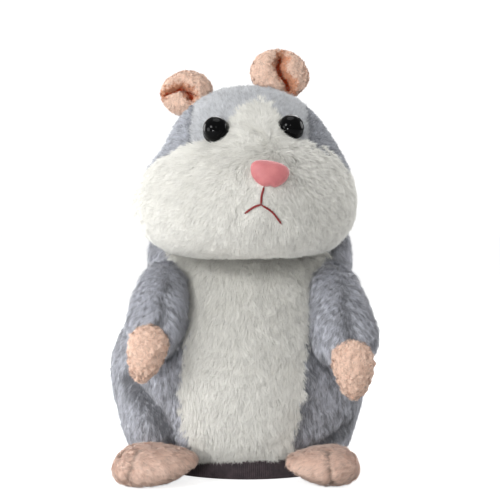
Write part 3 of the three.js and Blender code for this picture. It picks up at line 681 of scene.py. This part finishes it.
def fur_head(skin, lines):
    rng = np.random.default_rng(11)
    roots, normals = scatter(skin, HEAD_DENSITY, rng)
    fray = waves(roots, 5, 3) * 0.5 + waves(roots, 1.7, 4) * 0.45
    rise = above_face(roots + (fray * 0.5)[:, None]) + fray
    white = (rise < 0) & cheek(roots + fray[:, None])
    between = (roots[:, 0] > FOREHEAD[0]) & (roots[:, 0] < FOREHEAD[1])
    panel = ~white & between & (roots[:, 1] < 6 + fray)
    side = ~white & ~panel

    nose = centre("nose")
    nose[1] = NOSE_FRONT
    away = roots - (nose + (0, 6, 2))
    down = np.array([0, 0, -1.0])
    field = np.where(white[:, None], away * 0.035 + down * 0.6, (0, 0.75, -0.15) + away * 0.012)
    field = field + waves(roots, 16, 5)[:, None] * (0.28, 0, 0.1)
    field = field + waves(roots, 4.5, 6)[:, None] * (0.16, 0.1, 0.12)
    comb = tangent(field, normals)

    length = np.where(white, 3.2, 2.8) * (1 + 0.10 * waves(roots, 6, 7))
    near = np.full(len(roots), 1e9)
    for line in lines:
        near = np.minimum(near, line_distance(roots, line))
    length = length * np.clip((near - 0.4) / 5.0, 0.30, 1)
    clear = near > 0.75
    for place in (eye_seat("left"), eye_seat("right")):
        spread = np.linalg.norm(roots - place, axis=1)
        clear &= spread > 4.3
        length = length * np.clip((spread - 2.6) / 4.4, 0.45, 1)
    spread = np.hypot((roots[:, 0] - nose[0]) / 6.6, (roots[:, 2] - nose[2]) / 4.5)
    clear &= ~((spread < 0.8) & (roots[:, 1] < -30))
    length = np.where(roots[:, 1] < -30, length * np.clip((spread - 0.45) / 1.3, 0.45, 1), length)
    tone = mottle(roots, 12)
    seams = np.minimum(np.abs(roots[:, 0] - FOREHEAD[0]), np.abs(roots[:, 0] - FOREHEAD[1]))
    # Painted shade along the forehead seams, over the creases sculpted there.
    tone -= np.where(~white, 0.4 * np.exp(-(seams / 1.1) ** 2), 0)
    # Painted shade: the grey fur on the right side of the head is made darker.
    tone -= np.where(side & (roots[:, 0] > 0), 0.2, 0)
    tints = {
        "white": (white, pile("face_white", WHITE, SOFT)),
        "brow": (panel, pile("brow_grey", PALE_GREY, BROW)),
        "side": (side, pile("side_grey", SIDE_GREY, PLUSH)),
    }
    for name, (region, looks) in tints.items():
        pick = region & clear
        coat(f"head_fur_{name}", roots[pick], normals[pick], comb[pick], length[pick], tone[pick], HAIR,
             1.02, looks, rng, RIDES["head"], tuft=0.05 if name == "white" else 0.14)


# Half sizes and depth of the nose, and its turn in degrees.
NOSE = {"half_width": 6.7, "half_height": 4.8, "depth": 3.1, "turn": (-4, 11, 0)}


def make_nose(skin):
    """Padded satin nose: a rounded triangle, wider at the top."""
    low, high = (np.array(corner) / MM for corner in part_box("nose"))
    seat = on_front(skin, (low[0] + high[0]) / 2, (low[2] + high[2]) / 2)
    rings, sides = 20, 64
    points = []
    for ring in range(rings):
        out = math.sin(math.pi / 2 * (ring + 1) / rings)
        dome = math.sqrt(max(0, 1 - out ** 2.4))
        for side in range(sides):
            angle = 2 * math.pi * side / sides
            cos, sin = math.cos(angle), math.sin(angle)
            wide = NOSE["half_width"] * out * math.copysign(abs(cos) ** 0.85, cos) * (1 + 0.26 * sin)
            tall = NOSE["half_height"] * out * math.copysign(abs(sin) ** 0.9, sin)
            notch = 0.7 * math.exp(-((cos - 0.18) / 0.2) ** 2) * (sin < 0) * out ** 3
            points.append((wide, -NOSE["depth"] * dome - 0.3, tall + notch))
    points += [(x * 0.9, 1.6, z * 0.9) for x, _, z in points[-sides:]]
    look = Look("nose_satin", srgb(196, 116, 118), 0.5, Sheen_Weight=0.6, Sheen_Roughness=0.35)
    look.colour(look.noise(260, 4), srgb(188, 108, 111), srgb(204, 124, 124))
    look.bump(look.noise(1600, 3), 0.3, 0.0002)
    placed = moved(points, stand(seat + (0, -0.9, 0), NOSE["turn"]))
    piece = mesh_object("nose_pad", placed, ring_faces(rings + 1, sides), [look.material])
    fix_normals(piece)
    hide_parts("nose")
    RIDES["head"](piece)


# Radius of a strand of mouth thread, and of its winding about its partner.
THREAD = {"radius": 0.28, "winding": 0.17}


def make_mouth(lines):
    """Mouth embroidered in dark red: two strands of thread twisted along each line."""
    look = Look("mouth_red", srgb(132, 14, 16), 0.6, Sheen_Weight=0.3)
    look.colour(look.wave(900, "DIAGONAL"), srgb(108, 8, 10), srgb(150, 24, 24))
    points, faces = [], []
    for line in lines:
        spine = track(line, 40)
        for strand in (0, math.pi):
            turns = np.linspace(0, 9 * math.pi, len(spine)) + strand
            wound = spine + THREAD["winding"] * np.stack([np.cos(turns), 0 * turns, np.sin(turns)], 1)
            body, skin = tube(wound, np.full(len(wound), THREAD["radius"]), rings=60, sides=8)
            faces += [tuple(index + len(points) for index in face) for face in skin]
            points += body.tolist()
    piece = mesh_object("mouth_stitch", points, faces, [look.material])
    fix_normals(piece)
    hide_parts("mouth_thread")
    RIDES["head"](piece)


# Half section of a safety eye from the front of its bead, as radius and depth, then its flange.
BEAD = [(0, -5.0), (1.4, -4.82), (2.7, -4.25), (3.8, -3.3), (4.5, -2.0), (4.8, -0.4), (4.8, 0.5)]
FLANGE = [(5.05, 0.8), (5.05, 1.5), (4.4, 1.7), (0, 1.7)]
EYE_TURN = {"left": (-24, 0, -10), "right": (-24, 0, 16)}


def make_eye(side):
    """Domed safety eye: gloss bead on a low flange."""
    section = track(BEAD, 26).tolist() + FLANGE
    sides = 64
    points = []
    for radius, depth in section:
        for step in range(sides):
            angle = 2 * math.pi * step / sides
            radius = max(radius, 0.01)
            points.append((radius * math.cos(angle), depth, radius * math.sin(angle)))
    look = Look("bead_" + side, srgb(6, 6, 7), 0.05)
    look.set("Specular IOR Level", 0.12)
    look.rough(look.noise(400, 3), 0.03, 0.08)
    placed = moved(points, stand(eye_seat(side), EYE_TURN[side]))
    piece = mesh_object(f"eye_bead_{side}", placed, ring_faces(len(section), sides), [look.material])
    fix_normals(piece)
    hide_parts(f"eye_{side}")
    RIDES["head"](piece)


# ---------------------------------------------------------------- ears


# Half width and height, the crease's bends as shares of them, and the turn in degrees.
EARS = {
    "left": {"size": (9.6, 8.4), "turn": (-12, -6, -8), "seed": 21,
             "crease": [(-0.85, 0.01), (-0.46, 0.12), (-0.1, 0.19), (0.19, -0.12), (0.25, -0.36)]},
    "right": {"size": (11, 9.6), "turn": (-12, 6, 10), "seed": 22,
              "crease": [(-0.02, 0.62), (-0.1, 0.21), (0, -0.05), (0.28, -0.38), (0.34, -0.6)]},
}
# From the middle of an ear to its front.
EAR_THICKNESS = 4.8


def make_ear(side):
    """Puffed fleece ear: a thick rounded disc with a deep bent crease between two lips."""
    size = EARS[side]["size"]
    rings, sides = 30, 80
    crease = np.array([(x, 0, z) for x, z in EARS[side]["crease"]])
    reach = np.sin(math.pi / 2 * (np.arange(rings) + 0.5) / (rings - 0.5))
    out = np.repeat(np.append(reach, reach[-2::-1]), sides)
    facing = np.repeat(np.append(np.ones(rings), -np.ones(rings - 1)), sides)
    angle = np.tile(np.linspace(0, 2 * math.pi, sides, endpoint=False), 2 * rings - 1)
    x, z = out * np.cos(angle), out * np.sin(angle)
    gap = line_distance(np.stack([x, 0 * x, z], 1), crease)
    slot = np.exp(-(gap / 0.17) ** 2) * np.maximum(0, 1 - out ** 8)
    lips = np.exp(-((gap - 0.42) / 0.3) ** 2)
    dome = np.sqrt(np.maximum(0, 1 - out ** 4))
    front = -EAR_THICKNESS * dome * (0.86 + 0.22 * lips) + 5.4 * slot
    back = EAR_THICKNESS * 0.75 * np.sqrt(np.maximum(0, 1 - out ** 3))
    pinch = 1 - 0.16 * np.maximum(0, -z)
    points = np.stack([x * size[0] * pinch, np.where(facing > 0, front, back), z * size[1]], 1)
    frame_here = stand(centre(f"ear_{side}"), EARS[side]["turn"])
    piece = mesh_object(f"ear_fleece_{side}", moved(points, frame_here), ring_faces(2 * rings - 1, sides),
                        [backing(f"ear_backing_{side}", PEACH)])
    fix_normals(piece)
    lumpy(piece, 2.0, 0.2, 25)
    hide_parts(f"ear_{side}")
    RIDES["head"](piece)

    rng = np.random.default_rng(EARS[side]["seed"])
    roots, normals = scatter(piece, FLEECE_DENSITY, rng)
    local = moved(roots, frame_here.inverted()) / (size[0], 1, size[1])
    gap = line_distance(local * (1, 0, 1), crease) + 0.03 * waves(roots, 2, 23)
    inside = local[:, 1] < 1.8
    deep, fold = inside & (gap < 0.12), inside & (gap >= 0.12) & (gap < 0.27)
    comb = curls(roots, normals, 26)
    length = np.where(deep, 0.7, 1.6)
    tone = 0.66 + 0.22 * waves(roots, 2.0, 25, 9) + rng.normal(0, 0.2, len(roots))
    for name, region, looks in (
        ("outer", ~deep & ~fold, pile(f"ear_{side}_peach", PEACH, TERRY)),
        ("fold", fold, pile(f"ear_{side}_fold", FOLD, EAR_FOLD)),
        ("crease", deep, pile(f"ear_{side}_crease", CREASE, EAR_CREASE)),
    ):
        coat(f"ear_{side}_{name}", roots[region], normals[region], comb[region], length[region],
             tone[region], CURL, 1.15, looks, rng, RIDES["head"], curl=0.4)


# ---------------------------------------------------------------- body

BODY_CUT = [
    (4.4, -2, 4, 0, 0, 0, 2.0),
    (4.5, -3, 4, 37, 28, 36, 2.0),
    (6.5, -4, 3, 41, 33.5, 38.6, 2.1),
    (12, -4.4, 2, 43, 37.2, 39.4, 2.2),
    (24, -4.2, 2, 46, 39.5, 41, 2.2),
    (38, -4, 2, 48, 40.5, 41, 2.15),
    (52, -3, 2, 44.5, 38, 39, 2.1),
    (64, -1, 2, 39, 34.5, 36, 2.1),
    (76, 0, 3, 38.5, 29, 33, 2.15),
    (84, 0, 6, 39, 22, 28, 2.2),
    (91, 0, 7, 36, 13, 21, 2.2),
    (94.4, 0, 7, 20, 8, 12, 2.0),
    (94.6, 0, 7, 0, 0, 0, 2.0),
]
# Edges of the white belly as height, left x and right x.
BELLY_EDGE = [(4, -19.5, 13.6), (13, -21, 14.6), (20, -24, 16.4), (33, -26, 18.6), (46, -24, 20),
              (60, -22, 21.5), (75, -27.5, 27), (90, -32, 31)]
# Folds above the thighs, as x and z, from the flank in towards the feet.
HAUNCHES = {
    "left": [(-45, 37), (-40, 32), (-34, 25), (-30, 18), (-28.5, 11)],
    "right": [(36, 19.4), (31.5, 16.4), (25, 12.4), (15.8, 8.6)],
}


def belly_edge(spots, column):
    """The x of the white belly's edge at each point's height, with column 1 for left and 2 for right."""
    edge = np.array(BELLY_EDGE)
    return np.interp(spots[:, 2], edge[:, 0], edge[:, column])


def on_belly(spots, fray=0.0):
    x = spots[:, 0] + fray
    return (x > belly_edge(spots, 1)) & (x < belly_edge(spots, 2)) & (spots[:, 1] < 0)


def make_body():
    points, faces = loft(BODY_CUT)
    skin = mesh_object("body_fabric", points, faces, [backing("body_backing", GREY)])
    stuffed(skin, voxel=4.5, cap=1.6)
    folds = [[on_front(skin, *spot) for spot in line] for line in HAUNCHES.values()]
    sculpt(
        skin,
        swells=[
            ((-40, -24, 18), 12, 3.0), ((32, -28, 8), 11, 2.4), ((38, -20, 34), 12, 1.6),
            ((-3, -38, 36), 20, 1.4), ((-26, -34, 24), 6, -2.0), ((-46, -6, 42), 16, 1.2),
            ((-3, -42, 41), 9, 1.0), ((22, -34, 22), 6, -1.6),
        ],
        creases=[
            (folds[0], 2.8, 5.2),
            (folds[1], 2.3, 4.2),
            ([(-22, -40, 48), (-4, -44, 47), (17, -40, 49)], 4.5, 1.3),
            ([(-20, -40, 31), (-4, -44, 30), (15, -40, 32)], 4.5, 0.9),
        ],
    )
    two_tone(skin, backing("belly_backing", WHITE), on_belly)
    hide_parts("torso_skin", "lower_skin")
    RIDES["body"](skin)
    return skin, folds


def fur_body(skin, folds):
    rng = np.random.default_rng(31)
    roots, normals = scatter(skin, BODY_DENSITY, rng)
    fray = waves(roots, 4, 32) * 0.7 + waves(roots, 1.5, 33) * 0.5
    white = on_belly(roots, fray)
    # No hairs under the body, in the neck, or where the fringe hangs.
    below = (np.hypot(roots[:, 0] + 1, roots[:, 1] - 5) < 35.5) & (roots[:, 2] < 10)
    clear = ~below & (roots[:, 2] < 92) & ~(white & (roots[:, 2] < 7.4))
    inner = np.where(white, np.sign(roots[:, 0] + 3), 0)
    sideways = waves(roots, 15, 34) * 0.22 + inner * 0.08
    field = np.stack([sideways, np.zeros(len(roots)), -np.ones(len(roots))], 1)
    field += waves(roots, 4.2, 35)[:, None] * (0.2, 0.12, 0.1)
    comb = tangent(field, normals)
    length = np.where(white, 3.4, 3.2) * (1 + 0.12 * waves(roots, 6, 36))
    fold = np.minimum(line_distance(roots, folds[0]), line_distance(roots, folds[1]))
    length = length * np.clip(0.5 + fold / 6, 0.5, 1)
    beside = roots[:, 0] - belly_edge(roots, 2)
    # Painted shade in the haunch folds.
    tone = mottle(roots, 37) - 1.0 * np.exp(-(fold / 3.4) ** 2)
    # Painted shadow in a band of grey fur beside the right edge of the white belly.
    tone -= np.where(white, 0, 0.42 * np.exp(-((beside - 1.5) / 3.5) ** 2))
    for name, region, looks in (
        ("white", white, pile("belly_white", WHITE, SOFT)),
        ("grey", ~white, pile("body_grey", GREY, PLUSH)),
    ):
        pick = region & clear
        coat(f"body_fur_{name}", roots[pick], normals[pick], comb[pick], length[pick], tone[pick], HAIR,
             1.05, looks, rng, RIDES["body"], tuft=0.05 if name == "white" else 0.18)


def fringe(skin):
    """Ragged lower edge of the belly fur, hanging over the top of the base."""
    rng = np.random.default_rng(41)
    count = int(5200 * FUR)
    x = rng.uniform(-20, 15.5, count)
    z = rng.uniform(6.8, 9.2, count)
    roots = np.array([on_front(skin, px, pz) for px, pz in zip(x, z)])
    normals = np.array([on_front(skin, px, pz, lift=1) for px, pz in zip(x, z)]) - roots
    comb = tangent(np.stack([waves(roots, 3.2, 42) * 0.45, np.zeros(count), -np.ones(count)], 1), normals)
    length = 2.7 * (1 + 0.35 * waves(roots, 3.0, 43))
    coat("base_fringe", roots, normals, comb, np.maximum(length, 1.2),
         mottle(roots, 44, 2.5), 0.2, 1.2, pile("fringe_white", WHITE, SOFT), rng, RIDES["base"])


# ---------------------------------------------------------------- arms, paws and feet

# Rows of x, y, z and radius. Partings and seams are x and z, and light is painted light that lifts an
# arm's whole tone.
ARM_CUT = {
    "left": {"path": [(-32, -19, 80, 6.5), (-32, -25, 72, 8.6), (-33, -31, 64, 10.2),
                      (-34.4, -35, 56.5, 10.5), (-35.6, -37.5, 49.5, 9), (-35.4, -38.5, 43, 6)],
             "parting": [(-28.8, 73), (-31.4, 67), (-30.6, 62.5), (-32.6, 57)],
             "light": 0.14, "seed": 51},
    "right": {"path": [(30.4, -19, 79, 6.5), (31, -25, 71, 8.6), (32.4, -31, 63, 10.4),
                       (33.9, -34.5, 55.5, 11.8), (35, -36.5, 48, 11.2), (36, -38, 40.5, 8)],
              "parting": [(34.2, 72), (33.8, 65), (35.6, 57.5), (36.6, 51)],
              "light": 0.0, "seed": 52},
}
PAW_CUT = {
    "left": [(-34.8, -40, 57, 4.6), (-35.8, -43.4, 53, 6.8), (-37, -45, 48, 6.6), (-38, -45, 43, 5.2),
             (-38.6, -44.4, 39, 3.4), (-38.8, -44, 37, 1.6)],
    "right": [(35.6, -40, 52, 4.6), (36, -43.4, 48, 6.8), (37, -45, 43, 7.2), (37.2, -45, 38, 5.8),
              (37, -44.4, 33.5, 3.8), (36.6, -44, 30.6, 1.8)],
}
FOOT_CUT = {
    "left": {"path": [(-46.6, -37.5, 6.4, 4.6), (-43.4, -39, 6.8, 6.6), (-36.4, -40.5, 7, 7.2),
                      (-28.8, -41, 7.8, 5.8), (-23, -41.5, 8.8, 3.6), (-18.4, -42.5, 9.4, 1.9)],
             "seam": [(-40.6, 13), (-42.4, 8), (-44, 3)], "comb": (0.75, -0.1, -0.5)},
    "right": {"path": [(37.2, -37.5, 7, 4.2), (34, -39, 7, 6), (27.8, -40.5, 6.8, 6.7),
                       (21.2, -41, 7.4, 5.2), (16.2, -41.5, 8.2, 3.2), (12.4, -42.5, 8.8, 1.8)],
              "seam": [(28.4, 12.4), (29, 7), (30, 1.8)], "comb": (-0.75, -0.1, -0.45)},
}


def limb(name, rows, flat, colour):
    """Skin of a limb from rows of x, y, z and radius."""
    points, faces = tube([row[:3] for row in rows], [row[3] for row in rows], flat)
    skin = mesh_object(name, points, faces, [backing(name + "_backing", colour)])
    fix_normals(skin)
    return skin


def curls(roots, normals, seed):
    """Comb direction that winds about every couple of millimetres, as looped fleece does."""
    turn = waves(roots, 2.4, seed) * math.pi
    up = tangent(np.tile((0.1, 0.0, 1.0), (len(roots), 1)), normals)
    side = np.cross(up, normals)
    return up * np.cos(turn)[:, None] + side * np.sin(turn)[:, None]


def lumpy(piece, size, depth, seed):
    """Raises small curls all over a fleece skin."""
    points = get_points(piece.data) / MM
    normals = get_points(piece.data, normals=True)
    rise = depth * np.clip(waves(points, size, seed, 9), -1.2, 1.2)
    set_points(piece.data, (points + normals * rise[:, None]) * MM)


def make_arm(side):
    cut = ARM_CUT[side]
    skin = limb(f"arm_fabric_{side}", cut["path"], 0.9, GREY)
    stuffed(skin, voxel=3.5, cap=1.2)
    parting = [on_front(skin, *spot) for spot in cut["parting"]]
    sculpt(skin, creases=[(parting, 1.5, 1.0)])
    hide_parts(f"arm_{side}")
    RIDES[side](skin)

    rng = np.random.default_rng(cut["seed"])
    roots, normals = scatter(skin, BODY_DENSITY, rng)
    line = np.array(parting)[::-1]
    part = roots[:, 0] - np.interp(roots[:, 2], line[:, 2], line[:, 0])
    near = line_distance(roots, parting)
    spread = np.tanh(part / 2) * np.exp(-(near / 9) ** 2) * 0.9
    sideways = spread + waves(roots, 9, 53) * 0.25
    field = np.stack([sideways, np.full(len(roots), -0.3), -np.ones(len(roots))], 1)
    field += waves(roots, 3.8, 54)[:, None] * (0.22, 0.1, 0.12)
    comb = tangent(field, normals)
    length = 3.0 * (1 + 0.13 * waves(roots, 5, 55))
    length = length * np.clip(0.6 + near / 6, 0.6, 1)
    # Painted light: the light share lifts the whole tone of the left arm.
    # Painted shade along the parting, over the crease sculpted there.
    tone = cut["light"] + mottle(roots, 56, 6) - 0.6 * np.exp(-(near / 1.8) ** 2)
    coat(f"arm_fur_{side}", roots, normals, comb, length, tone, HAIR, 1.0,
         pile(f"arm_grey_{side}", GREY, PLUSH), rng, RIDES[side], tuft=0.2)


def make_paw(side):
    skin = limb(f"paw_fleece_{side}", PAW_CUT[side], 0.85, PEACH)
    stuffed(skin, voxel=2.0, cap=0.6)
    lumpy(skin, 2.0, 0.22, 65)
    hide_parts(f"paw_{side}")
    RIDES[side](skin)

    rng = np.random.default_rng(61 if side == "left" else 62)
    roots, normals = scatter(skin, FLEECE_DENSITY, rng)
    length = 1.7 * (1 + 0.2 * waves(roots, 2.5, 63))
    tone = 0.66 + 0.22 * waves(roots, 2.0, 65, 9) + rng.normal(0, 0.2, len(roots))
    coat(f"paw_terry_{side}", roots, normals, curls(roots, normals, 66), length, tone, CURL, 1.15,
         pile(f"paw_peach_{side}", PEACH, TERRY), rng, RIDES[side], curl=0.4)


def make_foot(side):
    cut = FOOT_CUT[side]
    skin = limb(f"foot_plush_{side}", cut["path"], 2.0, FOOT)
    stuffed(skin, voxel=2.5, cap=0.6)
    points = get_points(skin.data)
    points[:, 2] = np.maximum(points[:, 2], 0.9 * MM)
    set_points(skin.data, points)
    seam = [on_front(skin, *spot) for spot in cut["seam"]]
    sculpt(skin, creases=[(seam, 1.1, 1.6)])
    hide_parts(f"foot_{side}")
    RIDES["base"](skin)

    rng = np.random.default_rng(71 if side == "left" else 72)
    roots, normals = scatter(skin, FOOT_DENSITY, rng)
    kept = roots[:, 2] > 1.0
    roots, normals = roots[kept], normals[kept]
    near = line_distance(roots, seam)
    comb = tangent(waves(roots, 4, 73)[:, None] * (0.3, 0.1, 0.3) + cut["comb"], normals)
    length = 2.6 * (1 + 0.12 * waves(roots, 3, 74)) * np.clip(0.45 + near / 4, 0.45, 1)
    # Painted shade along the seam, over the crease sculpted there.
    tone = 0.66 + 0.16 * waves(roots * (0.4, 1, 1), 1.4, 75) - 0.9 * np.exp(-(near / 1.0) ** 2)
    coat(f"foot_pile_{side}", roots, normals, comb, length, tone, 0.17, 1.2,
         pile(f"foot_beige_{side}", FOOT, SOLE), rng, RIDES["base"], tuft=0.06)


# ---------------------------------------------------------------- CAD nodes that stay


def works_looks():
    """Procedural looks for the plastic, steel and gear nodes kept from the CAD."""
    dark = Look("base_band", srgb(58, 46, 51), 0.75, Sheen_Weight=0.2)
    dark.colour(dark.noise(500, 4), srgb(48, 38, 43), srgb(68, 55, 60))
    dark.bump(dark.wave(420, "X"), 0.5, 0.0004)
    white = Look("moulded_white", srgb(214, 214, 208), 0.45)
    white.colour(white.noise(120, 3), srgb(206, 206, 200), srgb(220, 220, 215))
    white.bump(white.noise(900, 2), 0.08)
    nylon = Look("gear_nylon", srgb(226, 221, 204), 0.4)
    nylon.colour(nylon.noise(200, 3), srgb(218, 212, 194), srgb(232, 228, 212))
    nylon.bump(nylon.noise(1200, 2), 0.06)
    steel = Look("plated_steel", srgb(176, 178, 182), 0.3, Metallic=1.0)
    steel.rough(steel.noise(300, 4, (1, 8, 1)), 0.22, 0.42)
    wrap = Look("cell_sleeve", srgb(168, 164, 156), 0.28)
    wrap.colour(wrap.noise(150, 3), srgb(160, 156, 148), srgb(176, 172, 164))
    board = Look("board_green", srgb(45, 107, 60), 0.45)
    board.colour(board.noise(700, 5), srgb(36, 92, 50), srgb(56, 122, 70))
    board.bump(board.noise(1500, 2), 0.1)
    return {"dark_plastic": dark, "white_plastic": white, "gear_plastic": nylon, "steel": steel,
            "cell_wrap": wrap, "board": board}


def dress_works():
    looks = works_looks()
    slots = {row["node"]: row["material_slot"] for row in frame["record"]["subparts"]}
    for name, node in frame["nodes"].items():
        look = looks.get(slots[name])
        if look is None:
            continue
        node.data.materials.clear()
        node.data.materials.append(look.material)


# Half side of the staged floor.
FLOOR = 2500


def make_floor():
    look = Look("floor_white", srgb(198, 198, 198), 0.9, Emission_Color=(1, 1, 1, 1))
    look.colour(look.noise(3, 2), srgb(196, 196, 196), srgb(200, 200, 200))
    # The lift to white is for the picture only, so that the floor doesn't light the belly from below.
    rays = look.nodes.new("ShaderNodeLightPath")
    lift = look.nodes.new("ShaderNodeMath")
    lift.operation = "MULTIPLY"
    lift.inputs[1].default_value = 0.8
    look.links.new(rays.outputs["Is Camera Ray"], lift.inputs[0])
    look.links.new(lift.outputs["Value"], look.shader.inputs["Emission Strength"])
    points = [(-FLOOR, -FLOOR, 0), (FLOOR, -FLOOR, 0), (FLOOR, FLOOR, 0), (-FLOOR, FLOOR, 0)]
    floor = mesh_object("floor", points, [(0, 1, 2, 3)], [look.material])


head = make_head()
lines = mouth_lines(head)
fur_head(head, lines)
make_nose(head)
make_mouth(lines)
body, folds = make_body()
fur_body(body, folds)
fringe(body)
for side in ("left", "right"):
    make_eye(side)
    make_arm(side)
    make_paw(side)
    make_foot(side)
for side in ("left", "right"):
    make_ear(side)
dress_works()
make_floor()
